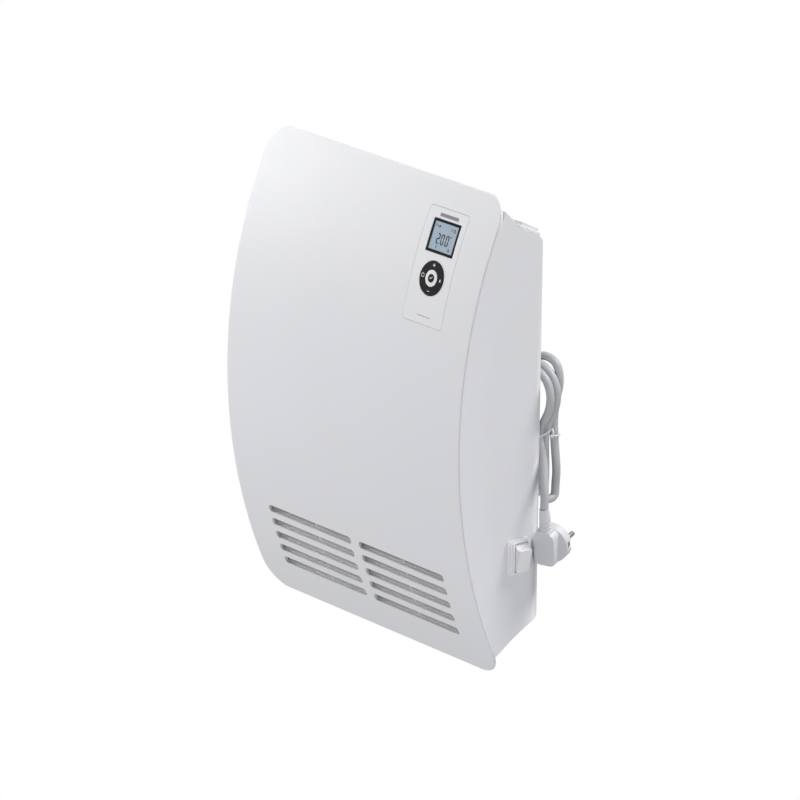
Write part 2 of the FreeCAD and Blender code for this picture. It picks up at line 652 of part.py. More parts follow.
def pivot_rod(name, radius, long):
    """Cylinder along Y through the switch's pivot."""
    return rod(name, radius, long, x="case_half - pivot_sink", y=f"switch_y + ({long})/2",
               z="switch_z", axis=(1, 0, 0), angle="90")


def make_switch():
    """Bezel with its stepped collar and sleeve, the tilted rocker on its pin, and the contact block."""
    steps = [switch_block(f"Collar{number}", f"switch_wide - {number}*2*switch_step",
                          f"switch_high - {number}*switch_step",
                          f"switch_plate*{number}*0.82", "switch_plate", "4")
             for number in range(3)]
    sleeve = switch_block("Sleeve", "switch_wide - 3", "switch_high - 3", "-2.2*case_wall",
                          "2.2*case_wall + 1", "3")
    window = switch_block("SwitchHole", "rocker_wide + 2*switch_slack",
                          "rocker_high*cos(rocker_tilt) + 2*(rocker_reach - 2)*sin(rocker_tilt)"
                          " + 2*switch_slack - 0.4", "-4*case_wall", "8*case_wall", "2")
    bore = pivot_rod("SleeveBore", "pivot_round + 0.02", "switch_wide + 2")
    keep(cut("SwitchBezel", join("BezelSolid", steps + [sleeve]), join("BezelTools", [window, bore])),
         "switch_bezel")
    block = prism("RockerBlock", "YZ_Plane", "rocker_wide", "rocker_high",
                  "rocker_reach + rocker_sink", "rocker_round", x="-rocker_sink")
    bore = rod("RockerBore", "pivot_round + shaft_fit", "2*rocker_wide", y="rocker_wide",
               axis=(1, 0, 0), angle="90")
    rocker = cut("Rocker", block, bore)
    keep(place(rocker, "case_half - pivot_sink", "switch_y", "switch_z", (0, 1, 0), "rocker_tilt"),
         "switch_rocker")
    keep(pivot_rod("SwitchPin", "pivot_round", "switch_wide - 3.4"), "switch_pin")
    contacts = [box(f"Contact{number}", "9", "0.8", "6.3", x="case_half - switch_deep - 8.5",
                    y=f"switch_y + {side}*5", z=f"switch_z + {rise}*7 - 3.15")
                for number, (side, rise) in enumerate(((-1, -1), (1, -1), (-1, 1), (1, 1)))]
    case = switch_block("ContactCase", "switch_wide - 6", "switch_high - 6", "-switch_deep",
                        "switch_deep - rocker_sink - pivot_sink - 4.5", "1.5")
    keep(join("SwitchBlock", [case] + contacts), "switch_block")


def make_fan():
    """Bladed drum between discs, on a shaft that also carries the rotor."""
    drum = body("FanDrum", x="drum_start", y="fan_y", z="fan_z")
    for name, offset in (("Near", "0"), ("Middle", "(drum_long - disc_thick)/2"),
                         ("Far", "drum_long - disc_thick")):
        sketch = sketch_on(drum, f"Disc{name}Outline", "YZ_Plane", offset)
        draw_circle(sketch, "0", "0", "drum_round")
        draw_circle(sketch, "0", "0", "shaft_round + 0.01" if name != "Middle" else
                    "drum_round - blade_deep")
        feature(drum, "Pad", f"Disc{name}", sketch, "disc_thick")
    outline = draw_loop(sketch_on(drum, "BladeOutline", "YZ_Plane"),
                        rectangle("drum_round - blade_deep - 1", "-blade_thick/2", "blade_deep",
                                  "blade_thick"))
    blade = feature(drum, "Pad", "Blade", outline, "drum_long")
    doc.recompute()
    single = blade.Shape.Volume
    ring = drum.newObject("PartDesign::PolarPattern", "Blades")
    ring.Originals = [blade]
    ring.Axis = ([item for item in drum.Origin.OriginFeatures if item.Role == "X_Axis"][0], [""])
    ring.Angle = 360
    ring.Occurrences = 24
    drum.Tip = ring
    doc.recompute()
    if drum.Shape.Volume < 1.5 * single:
        raise ValueError("the fan's blades are missing")
    keep(drum, "fan_drum")
    keep(cross_rod("FanShaft", "shaft_round", "-case_half + 5", "fan_y", "fan_z",
                   "drum_side + drum_long + 8"), "fan_shaft")
    rotor = cut("Rotor", cross_rod("RotorSolid", "rotor_round", "-case_half + motor_side - 2", "fan_y",
                                   "fan_z", "rotor_long"),
                cross_rod("RotorBore", "shaft_round + 0.01", "-case_half + motor_side - 3", "fan_y",
                          "fan_z", "rotor_long + 2"))
    keep(rotor, "motor_rotor")


def make_motor():
    """Laminated stack with its coil, and the two shaft bearings."""
    half = "stack_wide/2"
    start = "-case_half + motor_side"
    whole = box("StackSolid", "stack_thick", "stack_wide", "stack_wide + 18", x=start,
                y=f"fan_y - {half}", z=f"fan_z - {half} - 18")
    window = box("StackWindow", "stack_thick + 2", "32", "14", x=f"{start} - 1", y="fan_y - 16",
                 z=f"fan_z - {half} - 8")
    bore = cross_rod("StackBore", "rotor_round + rotor_gap", f"{start} - 1", "fan_y", "fan_z",
                     "stack_thick + 2")
    keep(cut("MotorStack", whole, join("StackTools", [window, bore])), "motor_stack")
    outer = box("CoilOuter", "stack_thick + 14", "28", "22", x=f"{start} - 7", y="fan_y - 14",
                z=f"fan_z - {half} - 24")
    inner = box("CoilInner", "stack_thick", "40", "10", x=start, y="fan_y - 20",
                z=f"fan_z - {half} - 18")
    keep(cut("MotorCoil", outer, inner), "motor_coil")
    for name, place_x in (("bearing_left", "-case_half + 6"),
                          ("bearing_right", "drum_start + drum_long + 2.5")):
        ring = cut(name.title(), cross_rod(name + "Solid", "bearing_round", place_x, "fan_y", "fan_z",
                                           "bearing_long"),
                   cross_rod(name + "Bore", "shaft_round + shaft_fit", f"{place_x} - 1", "fan_y",
                             "fan_z", "bearing_long + 2"))
        keep(ring, name)


def make_duct():
    """Sheet scroll over the fan that leads the air down to the slots."""
    inner = "drum_round + duct_gap"
    outer = "drum_round + duct_gap + duct_wall"
    start = "drum_start - duct_side"
    long = "(drum_long + 2*duct_side)"
    shell = cut("ScrollShell", cross_rod("ScrollOuter", outer, start, "fan_y", "fan_z", long),
                cross_rod("ScrollInner", inner, f"{start} - 1", "fan_y", "fan_z", f"{long} + 2"))
    lower = box("ScrollLower", f"{long} + 4", "200", "100", x=f"{start} - 2", y="fan_y - 100",
                z="fan_z - 100")
    intake = box("ScrollIntake", f"{long} - 20", "drum_round", "100", x=f"{start} + 10",
                 y="fan_y - drum_round/2", z="fan_z")
    scroll = cut("ScrollTop", shell, join("ScrollTools", [lower, intake]))
    back = box("DuctBack", long, "duct_wall", "frame_under + frame_high + 10", x=start,
               y=f"fan_y + {inner}", z="fan_z - frame_under - frame_high - 10")
    front = box("DuctFront", long, "duct_wall", "frame_under + frame_high", x=start,
                y=f"fan_y - ({outer})", z="fan_z - frame_under - frame_high")
    slope = box("DuctSlope", long, "duct_wall", "78", x=start, y=f"fan_y + {inner}",
                z="fan_z - frame_under - frame_high - 9.5", axis=(1, 0, 0), angle="-206")
    keep(join("AirDuct", [scroll, back, front, slope]), "air_duct")


def make_heater():
    """Heating wires stretched in a board frame, with the thermal cut-out on top."""
    outer = box("FrameOuter", "drum_long", "frame_deep", "frame_high", x="drum_start",
                y="fan_y - frame_deep/2", z="frame_z")
    inner = box("FrameInner", "drum_long - 2*frame_thick", "frame_deep - 2*frame_thick",
                "frame_high + 2", x="drum_start + frame_thick",
                y="fan_y - frame_deep/2 + frame_thick", z="frame_z - 1")
    keep(cut("HeaterFrame", outer, inner), "heater_frame")
    wires = [cross_rod(f"Wire{number}", "wire_round", "drum_start + frame_thick",
                       f"fan_y + {number - 2}*wire_pitch", "frame_z + frame_high/2",
                       "drum_long - 2*frame_thick")
             for number in range(5)]
    keep(group("HeaterWires", wires), "heater_wires")
    keep(rod("ThermalCutout", "8", "6", x="drum_start + 24", y="fan_y - frame_deep/2 + 8",
             z="frame_z + frame_high"), "thermal_cutout")
    keep(cross_rod("RoomSensor", "2.2", "case_half - case_wall - 12", "switch_y",
                   "switch_z - switch_high - 12", "9"), "room_sensor")


def make_power_board():
    """Power board on the rear cover with its relays, transformer and the terminal block."""
    floor = "cover_plane - cover_wall"
    left = "cover_x + 30"
    low = "cover_z + cover_rise - power_high - 30"
    board = prism("PowerBoard", "XZ_Plane", "power_wide", "power_high", "power_thick", "3",
                  x=f"{left} + power_wide/2", y=f"{floor} - power_lift", z=f"{low} + power_high/2")
    keep(board, "power_board")
    face = f"{floor} - power_lift - power_thick"
    parts = []
    for number, (side, rise, wide, high, deep) in enumerate(
            ((8, 8, 20, 28, 16), (34, 8, 20, 28, 16), (60, 10, 34, 30, 28), (12, 48, 14, 14, 24),
             (34, 50, 30, 10, 14), (74, 52, 22, 24, 10))):
        parts.append(box(f"Component{number}", f"{wide}", f"{deep}", f"{high}", x=f"{left} + {side}",
                         y=f"{face} - {deep}", z=f"{low} + {rise}"))
    keep(group("PowerParts", parts), "power_parts")
    posts = [rod(f"Post{number}", "screw_head", "power_lift", x=f"{left} + power_wide*{0.05 + 0.9*side}",
                 y=floor, z=f"{low} + power_high*{0.06 + 0.88*rise}", axis=(1, 0, 0), angle="90")
             for number, (side, rise) in enumerate(((0, 0), (1, 0), (0, 1), (1, 1)))]
    keep(group("BoardPosts", posts), "board_posts")
    screws = [rod(f"BoardScrew{number}", "screw_head", "2.4",
                  x=f"{left} + power_wide*{0.05 + 0.9*side}", y=face,
                  z=f"{low} + power_high*{0.06 + 0.88*rise}", axis=(1, 0, 0), angle="90")
              for number, (side, rise) in enumerate(((0, 0), (1, 0), (0, 1), (1, 1)))]
    keep(group("BoardScrews", screws), "board_screws")
    block = box("TerminalBlock", "block_wide", "block_deep", "block_high",
                x="cover_x + cover_span - block_wide - 16", y=f"{floor} - block_deep", z="cover_z + 60")
    ways = [box(f"TerminalWay{number}", "block_wide/5", "block_deep", "block_high/2",
                x=f"cover_x + cover_span - 16 - block_wide*{0.95 - 0.32*number}",
                y=f"{floor} - 1.5*block_deep", z="cover_z + 60 + block_high/4")
            for number in range(3)]
    keep(cut("TerminalPart", block, join("TerminalWays", ways)), "terminal_block")


HANK_SPOT = Vector(158, -20.5, 0)
HANK_OUTLINE = ((-17, -75), (7, -75), (10, -71), (10, -22), (12, -8), (20, 14), (20.5, 40), (12, 60),
                (-4, 67), (-22, 64), (-32, 48), (-32, 8), (-26, -18), (-17, -26))
LEAD_ROUTE = ((127, -22, -92), (127.5, -22, -66), (132, -20.5, -39), (136, -18, -16))
TAIL_ROUTE = ((158.5, -31, -8), (163.5, -31, -21), (170, -33.2, -36), (177, -38.4, -50),
              (181.6, -41.6, -61), (181.7, -42, -73.3))
PLUG_TURN = 110
PLUG_RISE = 10


def tube(name, route):
    """Round cord along straight runs joined by arcs that are as large as the runs allow."""
    spots = [Vector(*spot) for spot in route]
    edges = []
    start = spots[0]
    for before, corner, after in zip(spots, spots[1:], spots[2:]):
        into, out = corner - before, after - corner
        trim = 0.45 * min(into.Length, out.Length)
        half_turn = into.getAngle(out) / 2
        radius = trim / math.tan(half_turn)
        print(f"{name}: radius {radius:.0f} mm, turn {math.degrees(2 * half_turn):.0f} degrees")
        into.normalize()
        out.normalize()
        enter, leave = corner - into * trim, corner + out * trim
        inward = out - into
        inward.normalize()
        middle = corner + inward * (radius / math.cos(half_turn) - radius)
        edges += [Part.LineSegment(start, enter).toShape(), Part.Arc(enter, middle, leave).toShape()]
        start = leave
    edges.append(Part.LineSegment(start, spots[-1]).toShape())
    path = Part.Wire(edges)
    radius = value("cord_round")
    direction = spots[1] - spots[0]
    ring = Part.Wire(Part.makeCircle(radius, spots[0], direction))
    solid = path.makePipeShell([ring], True, True)
    expected = math.pi * radius ** 2 * path.Length
    if abs(solid.Volume - expected) > 0.02 * expected:
        raise ValueError(f"{name} has the wrong volume")
    item = doc.addObject("Part::Feature", name)
    item.Shape = solid
    return item


def make_cord():
    """Elbow gland on the rear cover, the lead, its tied hank and the tail to the plug."""
    side = "cover_x + cover_span"
    block = prism("GlandBlock", "XY_Plane", "gland_wide + 5", "gland_wide", "gland_wide", "3",
                  x=f"{side} + (gland_wide + 5)/2", y=str(LEAD_ROUTE[0][1]),
                  z=f"{LEAD_ROUTE[0][2]} - gland_long - gland_wide")
    sleeve = bind(doc.addObject("Part::Cone", "GlandSleeve"), Radius1="cord_round + 2.4",
                  Radius2="cord_round + 0.8", Height="gland_long")
    place(sleeve, LEAD_ROUTE[0][0], LEAD_ROUTE[0][1], f"{LEAD_ROUTE[0][2]} - gland_long")
    keep(join("CordGland", [block, sleeve]), "cord_gland")
    keep(tube("CordLead", LEAD_ROUTE), "cord_lead")
    keep(tube("CordTail", TAIL_ROUTE), "cord_tail")
    hank = body("CordHank", x=HANK_SPOT.x, y=HANK_SPOT.y, z=HANK_SPOT.z)
    outline = draw_loop(sketch_on(hank, "HankOutline", "XZ_Plane"),
                        [(str(across), str(up)) for across, up in HANK_OUTLINE])
    feature(hank, "Pad", "HankPad", outline, "hank_thick", midplane=True)
    keep(hank, "cord_hank")
    ring = cut("TieRing", prism("TieOuter", "XY_Plane", "40", "hank_thick + 4", "tie_high", "5"),
               prism("TieInner", "XY_Plane", "38", "hank_thick + 2", "3*tie_high", "4",
                     z="-tie_high"))
    keep(place(ring, HANK_SPOT.x - 7, HANK_SPOT.y, "-14"), "twist_tie")


def make_plug():
    """Angled two-pin plug with side contacts, hanging from the end of the cord."""
    turn = FreeCAD.Rotation(Vector(0, 0, 1), PLUG_TURN) * FreeCAD.Rotation(Vector(0, 1, 0),
                                                                        90 - PLUG_RISE)
    up = turn.multVec(Vector(-1, 0, 0))
    seat = "plug_round - 3"
    pins_way = turn.multVec(Vector(0, 0, 1))
    middle = (Vector(*TAIL_ROUTE[-1]) - up * value(f"{seat} + neck_long")
              + pins_way * value("neck_back"))
    spot = FreeCAD.Placement(middle, turn)
    cap = prism("PlugCap", "XY_Plane", "cap_long", "cap_wide", "cap_high + 1", "6", z="-cap_high")
    shell = rod("PlugShell", "plug_round", "plug_thick")
    grooves = [box(f"PlugGroove{side}", "8", "5", "plug_thick + 2", x="-4",
                   y=f"{side}*plug_round - 2.5", z="2") for side in (-1, 1)]
    shoulder = box("PlugShoulder", "plug_round", "14", "13", x="-plug_round", y="-7",
                   z="-neck_back - 6.5")
    whole = join("PlugSolid", [cap, shell, shoulder])
    solid = cut("PlugBody", whole, join("PlugGrooves", grooves))
    neck = bind(doc.addObject("Part::Cone", "PlugNeck"), Radius1="neck_round + 1",
                Radius2="cord_round + 0.4", Height="neck_long")
    place(neck, f"-({seat})", 0, "-neck_back", (0, 1, 0), "-90")
    neck_free = cut("NeckFree", neck, whole)
    pins = [rod(f"PlugPin{side}", "pin_round", "pin_long", x=0, y=f"{side}*pin_apart/2",
                z="plug_thick") for side in (-1, 1)]
    contacts = [box(f"EarthContact{side}", "5", "0.8", "plug_thick - 2", x="-2.5",
                    y=f"{side}*(plug_round - 2.5) - {0.4 - 0.4*side}", z="2") for side in (-1, 1)]
    for item, name in ((solid, "plug_body"), (neck_free, "plug_neck"), (group("PlugPins", pins),
                       "plug_pins"), (group("EarthContacts", contacts), "plug_contacts")):
        item.Placement = spot
        keep(item, name)


def write_parts():
    """Check every object and write each sub-part."""
    doc.recompute()
    for item in doc.Objects:
        if "Invalid" in item.State or "Error" in item.State:
            raise ValueError(f"{item.Name} failed: {item.State} {item.getStatusString()}")
    os.makedirs("parts", exist_ok=True)
    for item in nodes:
        shape = item.Shape
        if shape.isNull() or not shape.isValid() or not shape.Solids:
            raise ValueError(f"{item.Label} is not a valid solid")
        shape.exportStep(f"parts/{item.Label}.step")
    print(f"{len(nodes)} sub-parts written")


fill_sheets()
make_front_panel()
make_rear_casing()
make_inlet_grille()
make_outlet_louvre()
make_rear_cover()
make_wall_bracket()
make_fascia()
make_display()
make_keys()
make_control_board()
make_switch()
make_fan()
make_motor()
make_duct()
make_heater()
make_power_board()
make_cord()
make_plug()
write_parts()
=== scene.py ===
import json
import math

import bmesh
import bpy
from mathutils import Matrix, Vector


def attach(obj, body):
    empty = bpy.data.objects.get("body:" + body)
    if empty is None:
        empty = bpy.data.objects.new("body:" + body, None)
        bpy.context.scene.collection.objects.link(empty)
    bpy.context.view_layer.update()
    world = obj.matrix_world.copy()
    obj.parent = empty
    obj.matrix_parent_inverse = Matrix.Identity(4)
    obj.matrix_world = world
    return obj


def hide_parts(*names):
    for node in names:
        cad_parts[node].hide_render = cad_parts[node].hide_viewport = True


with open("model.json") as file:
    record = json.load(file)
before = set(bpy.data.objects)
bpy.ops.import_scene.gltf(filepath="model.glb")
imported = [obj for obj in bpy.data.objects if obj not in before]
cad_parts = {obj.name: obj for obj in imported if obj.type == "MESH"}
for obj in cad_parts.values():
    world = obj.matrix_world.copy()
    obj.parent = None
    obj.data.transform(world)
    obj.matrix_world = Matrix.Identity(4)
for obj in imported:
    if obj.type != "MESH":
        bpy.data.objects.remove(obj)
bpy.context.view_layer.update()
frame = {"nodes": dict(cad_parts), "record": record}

nodes = frame["nodes"]
slotOf = {part["node"]: part["material_slot"] for part in frame["record"]["subparts"]}
bodies = frame["record"]["behaviour"]["bodies"]
bodyOf = {node: body for body, members in bodies.items() for node in members}
mm = 0.001
print("frame loaded:", len(nodes), "nodes")


view = {"place": (4.1388, -3.5421, 1.7529), "azimuth": 49.99, "elevation": 18.04, "roll": 0.60,
        "lens": 267.3, "reach": 60}


def addCamera():
    azimuth, elevation, roll = (math.radians(view[key]) for key in ("azimuth", "elevation", "roll"))
    back = Vector((math.sin(azimuth)*math.cos(elevation), -math.cos(azimuth)*math.cos(elevation),
                   math.sin(elevation)))
    level = Vector((math.cos(azimuth), math.sin(azimuth), 0))
    upright = back.cross(level)
    across = math.cos(roll)*level + math.sin(roll)*upright
    up = -math.sin(roll)*level + math.cos(roll)*upright
    camera = bpy.data.objects.new("camera", bpy.data.cameras.new("camera"))
    camera.data.lens = view["lens"]
    camera.data.clip_end = view["reach"]
    axes = Matrix((across, up, back)).transposed()
    camera.matrix_world = Matrix.Translation(view["place"]) @ axes.to_4x4()
    bpy.context.scene.collection.objects.link(camera)
    bpy.context.scene.camera = camera


studio = {
    "floorDrop": -0.75, "floorHalf": 30, "floorWhite": (1, 1, 1, 1), "sky": (0.93, 0.94, 0.97, 1),
    "skyPower": 0.45, "aim": (0.05, 0, 0),
    # each lamp: place, width, power
    "lamps": {"front": ((-1.9, -2.0, 2.2), 1.2, 19), "left": ((-1.9, -0.7, 0.5), 1.0, 32),
              "right": ((3.0, -0.2, -0.8), 1.4, 14.5), "rear": ((0.9, 1.4, 2.6), 1.2, 75),
              "facing": ((1.8, -2.6, -0.6), 1.0, 9), "low": ((-1.0, -1.8, -2.2), 1.4, 12)},
}


def addStudio():
    scene = bpy.context.scene
    scene.view_settings.view_transform = "Standard"
    scene.world = scene.world or bpy.data.worlds.new("sky")
    scene.world.use_nodes = True
    sky = next(n for n in scene.world.node_tree.nodes if n.type == "BACKGROUND")
    sky.inputs["Color"].default_value = studio["sky"]
    sky.inputs["Strength"].default_value = studio["skyPower"]
    for name, (place, width, power) in studio["lamps"].items():
        lamp = bpy.data.objects.new(name, bpy.data.lights.new(name, "AREA"))
        lamp.data.shape = "DISK"
        lamp.data.size, lamp.data.energy = width, power
        turn = (Vector(studio["aim"]) - Vector(place)).to_track_quat("-Z", "Y").to_matrix()
        lamp.matrix_world = Matrix.Translation(place) @ turn.to_4x4()
        scene.collection.objects.link(lamp)
    mesh = bpy.data.meshes.new("floor")
    half = studio["floorHalf"]
    corners = ((-half, -half), (half, -half), (half, half), (-half, half))
    mesh.from_pydata([(x, y, studio["floorDrop"]) for x, y in corners], [], [(0, 1, 2, 3)])
    floor = bpy.data.objects.new("floor", mesh)
    paint = bpy.data.materials.new("floorWhite")
    paint.use_nodes = True
    shader = paint.node_tree.nodes["Principled BSDF"]
    shader.inputs["Base Color"].default_value = (0, 0, 0, 1)
    shader.inputs["Specular IOR Level"].default_value = 0
    shader.inputs["Emission Color"].default_value = studio["floorWhite"]
    shader.inputs["Emission Strength"].default_value = 1
    mesh.materials.append(paint)
    scene.collection.objects.link(floor)
    # seen, but neither lights the heater nor shades it
    floor.visible_diffuse = floor.visible_glossy = floor.visible_shadow = False


addCamera()
addStudio()
print("camera, floor and lamps ready")


# An output socket that takes part in sums.
class Wire:
    def __init__(self, tree, socket):
        self.tree, self.socket = tree, socket

    def maths(self, operation, first, second):
        return self.tree.node("ShaderNodeMath", {"operation": operation}, {0: first, 1: second})

    def __add__(self, other):
        return self.maths("ADD", self, other)

    def __sub__(self, other):
        return self.maths("SUBTRACT", self, other)

    def __rsub__(self, other):
        return self.maths("SUBTRACT", other, self)

    def __mul__(self, other):
        return self.maths("MULTIPLY", self, other)

    __radd__, __rmul__ = __add__, __mul__


class Tree:
    def __init__(self, nodeTree):
        self.nodeTree = nodeTree

    def node(self, kind, settings=None, values=None, out=0):
        made = self.nodeTree.nodes.new(kind)
        for name, setting in (settings or {}).items():
            setattr(made, name, setting)
        self.feed(made, values or {})
        return Wire(self, made.outputs[out])

    def feed(self, made, values):
        for key, value in values.items():
            if isinstance(value, Wire):
                self.nodeTree.links.new(value.socket, made.inputs[key])
            else:
                made.inputs[key].default_value = value


def startFinish(name, **constants):
    material = bpy.data.materials.new(name)
    material.use_nodes = True
    shader = material.node_tree.nodes["Principled BSDF"]
    for socket, value in constants.items():
        shader.inputs[{"coat": "Coat Weight", "coatRough": "Coat Roughness", "metal": "Metallic",
                       "gloss": "Specular IOR Level"}[socket]].default_value = value
    tree = Tree(material.node_tree)
    place = tree.node("ShaderNodeTexCoord", out=3)
    return material, shader, tree, place


def noise(tree, place, scale, detail=3, rough=0.5, stretch=(1, 1, 1)):
    spot = tree.node("ShaderNodeMapping", {}, {0: place, 3: stretch}) if stretch != (1, 1, 1) else place
    return tree.node("ShaderNodeTexNoise", {},
                     {"Vector": spot, "Scale": scale, "Detail": detail, "Roughness": rough})


def blend(tree, amount, low, high):
    return tree.node("ShaderNodeMix", {"data_type": "RGBA"}, {0: amount, 6: low, 7: high}, out=2)


def bump(tree, height, depth, strength=1.0):
    return tree.node("ShaderNodeBump", {}, {"Height": height, "Distance": depth, "Strength": strength})


# Satin moulding: a very fine spark-eroded grain, slow flow marks and faint unevenness of colour.
def mouldedPlastic(name, colour, rough=0.36, grain=1500, depth=0.00003, **constants):
    material, shader, tree, place = startFinish(name, **constants)
    flow = noise(tree, place, 7, 2)
    fine = noise(tree, place, grain, 2, 0.6)
    dark = tuple(0.965*c for c in colour)
    tree.feed(shader, {"Base Color": blend(tree, flow*0.7 + fine*0.3, (*dark, 1), (*colour, 1)),
                       "Roughness": flow*0.06 + fine*0.08 + (rough - 0.07),
                       "Normal": bump(tree, fine + noise(tree, place, 90, 1)*0.6, depth)})
    return material


def softRubber(name, colour, rough=0.62):
    material, shader, tree, place = startFinish(name, gloss=0.35)
    fine = noise(tree, place, 1100, 4, 0.65)
    dark = tuple(0.8*c for c in colour)
    tree.feed(shader, {"Base Color": blend(tree, noise(tree, place, 60), (*dark, 1), (*colour, 1)),
                       "Roughness": fine*0.2 + (rough - 0.1), "Normal": bump(tree, fine, 0.00005)})
    return material


# Metal with fine lines along one direction and cloudy tarnish.
def rolledMetal(name, colour, rough=0.3, stretch=(12, 160, 160), scale=40, tarnish=0.25):
    material, shader, tree, place = startFinish(name, metal=1.0)
    lines = noise(tree, place, scale, 3, 0.6, stretch)
    cloud = noise(tree, place, 35, 3)
    dull = tuple(c*(1 - tarnish) for c in colour)
    tree.feed(shader, {"Base Color": blend(tree, cloud*0.6 + lines*0.4, (*dull, 1), (*colour, 1)),
                       "Roughness": lines*0.18 + cloud*0.1 + (rough - 0.12),
                       "Normal": bump(tree, lines, 0.00004)})
    return material


def boardGreen(name):
    material, shader, tree, place = startFinish(name, coat=0.3)
    weave = tree.node("ShaderNodeTexChecker", {}, {"Vector": place, "Scale": 900}, out=1)
    tracks = tree.node("ShaderNodeTexBrick", {"offset": 0.5},
                       {"Vector": place, "Scale": 260, "Mortar Size": 0.06}, out=1)
    colour = blend(tree, tracks*0.5 + weave*0.1, (0.012, 0.09, 0.045, 1), (0.03, 0.2, 0.1, 1))
    tree.feed(shader, {"Base Color": colour,
                       "Roughness": weave*0.1 + 0.35, "Normal": bump(tree, tracks, 0.00005)})
    return material


def woundCopper(name):
    material, shader, tree, place = startFinish(name, metal=1.0, coat=0.5)
    turns = tree.node("ShaderNodeTexWave", {"wave_type": "BANDS", "bands_direction": "X"},
                      {"Vector": place, "Scale": 420, "Distortion": 0.4})
    tree.feed(shader, {"Base Color": blend(tree, turns, (0.28, 0.09, 0.035, 1), (0.86, 0.42, 0.22, 1)),
                       "Roughness": turns*0.15 + 0.22, "Normal": bump(tree, turns, 0.0003)})
    return material


def micaBoard(name):
    material, shader, tree, place = startFinish(name)
    flakes = tree.node("ShaderNodeTexVoronoi", {}, {"Vector": place, "Scale": 420}, out=1)
    flecks = tree.node("ShaderNodeRGBToBW", {}, {0: flakes})
    tree.feed(shader, {"Base Color": blend(tree, flecks, (0.42, 0.36, 0.27, 1), (0.66, 0.6, 0.49, 1)),
                       "Roughness": flecks*0.3 + 0.35, "Normal": bump(tree, flecks, 0.00008)})
    return material


# Grey-blue screen with a faint grid behind its window.
def screenGlass(name):
    material, shader, tree, place = startFinish(name, coat=0.25, coatRough=0.05)
    cells = tree.node("ShaderNodeTexChecker", {}, {"Vector": place, "Scale": 1400}, out=1)
    colour = blend(tree, noise(tree, place, 30)*0.7 + cells*0.1, (0.36, 0.45, 0.54, 1),
                   (0.44, 0.54, 0.63, 1))
    tree.feed(shader, {"Base Color": colour, "Roughness": cells*0.04 + 0.2})
    return material


whiteShell = (0.80, 0.80, 0.815)
finishes = {
    "panel_white": mouldedPlastic("panelWhite", whiteShell, 0.34),
    "casing_white": mouldedPlastic("casingWhite", whiteShell, 0.40, 1300, 0.00004),
    "louvre_white": mouldedPlastic("louvreWhite", (0.92, 0.92, 0.93), 0.45),
    "cover_grey": mouldedPlastic("coverGrey", (0.42, 0.43, 0.44), 0.5, 1000, 0.00006),
    "bracket_steel": rolledMetal("bracketSteel", (0.62, 0.63, 0.64), 0.38),
    "plate_white": mouldedPlastic("plateWhite", (0.83, 0.83, 0.84), 0.30, 1800, 0.00002),
    "display_black": mouldedPlastic("displayBlack", (0.006, 0.006, 0.007), 0.28, 2000, 0.00001, gloss=0.1),
    "display_glass": screenGlass("displayGlass"),
    "key_black": mouldedPlastic("keyBlack", (0.004, 0.004, 0.005), 0.42, 1700, 0.00003, gloss=0.08),
    "key_white": mouldedPlastic("keyWhite", (0.80, 0.80, 0.80), 0.38),
    "key_rubber": softRubber("keyRubber", (0.12, 0.12, 0.13)),
    "board_green": boardGreen("boardGreen"),
    "spring_steel": rolledMetal("springSteel", (0.72, 0.72, 0.73), 0.26),
    "switch_white": mouldedPlastic("switchWhite", (0.90, 0.90, 0.91), 0.36, 1800, 0.00003),
    "block_black": mouldedPlastic("blockBlack", (0.03, 0.03, 0.03), 0.45),
    "fan_aluminium": rolledMetal("fanAluminium", (0.80, 0.81, 0.82), 0.3, (160, 14, 14)),
    "shaft_steel": rolledMetal("shaftSteel", (0.66, 0.66, 0.67), 0.2, (160, 8, 8), tarnish=0.1),
    "core_steel": rolledMetal("coreSteel", (0.38, 0.39, 0.41), 0.42, (300, 6, 6)),
    "coil_copper": woundCopper("coilCopper"),
    "bearing_brass": rolledMetal("bearingBrass", (0.78, 0.57, 0.28), 0.3, (10, 90, 90)),
    "bearing_rubber": softRubber("bearingRubber", (0.03, 0.03, 0.032), 0.7),
    "duct_steel": rolledMetal("ductSteel", (0.60, 0.61, 0.62), 0.42, (10, 60, 60)),
    "mica_board": micaBoard("micaBoard"),
    "heating_wire": rolledMetal("heatingWire", (0.30, 0.26, 0.24), 0.5, (400, 20, 20), tarnish=0.4),
    "relay_blue": mouldedPlastic("relayBlue", (0.03, 0.10, 0.30), 0.35),
    "terminal_white": mouldedPlastic("terminalWhite", (0.72, 0.71, 0.68), 0.45),
    "gland_white": mouldedPlastic("glandWhite", (0.74, 0.74, 0.75), 0.45),
    "cord_white": mouldedPlastic("cordWhite", (0.50, 0.505, 0.52), 0.42, 900, 0.00005),
    "tie_white": mouldedPlastic("tieWhite", (0.84, 0.84, 0.85), 0.35),
    "plug_white": mouldedPlastic("plugWhite", (0.72, 0.725, 0.74), 0.40, 1200, 0.00004),
    "pin_nickel": rolledMetal("pinNickel", (0.60, 0.58, 0.54), 0.24, (60, 60, 10)),
}
finishes.update({name: mouldedPlastic(name, colour, 0.5, 2400, 0.000005, gloss=0.1) for name, colour in {
    "ink_dark": (0.012, 0.018, 0.026), "ink_grey": (0.09, 0.12, 0.15), "ink_white": (0.72, 0.72, 0.71),
    "ink_strip": (0.27, 0.27, 0.28)}.items()})
for node, piece in nodes.items():
    for holder in piece.material_slots:
        holder.material = finishes[slotOf[node]]
print("finishes on", len(nodes), "nodes")


# The mesh that a piece's modifiers or curve give, on its own.
def flatten(piece):
    graph = bpy.context.evaluated_depsgraph_get()
    return bpy.data.meshes.new_from_object(piece.evaluated_get(graph))


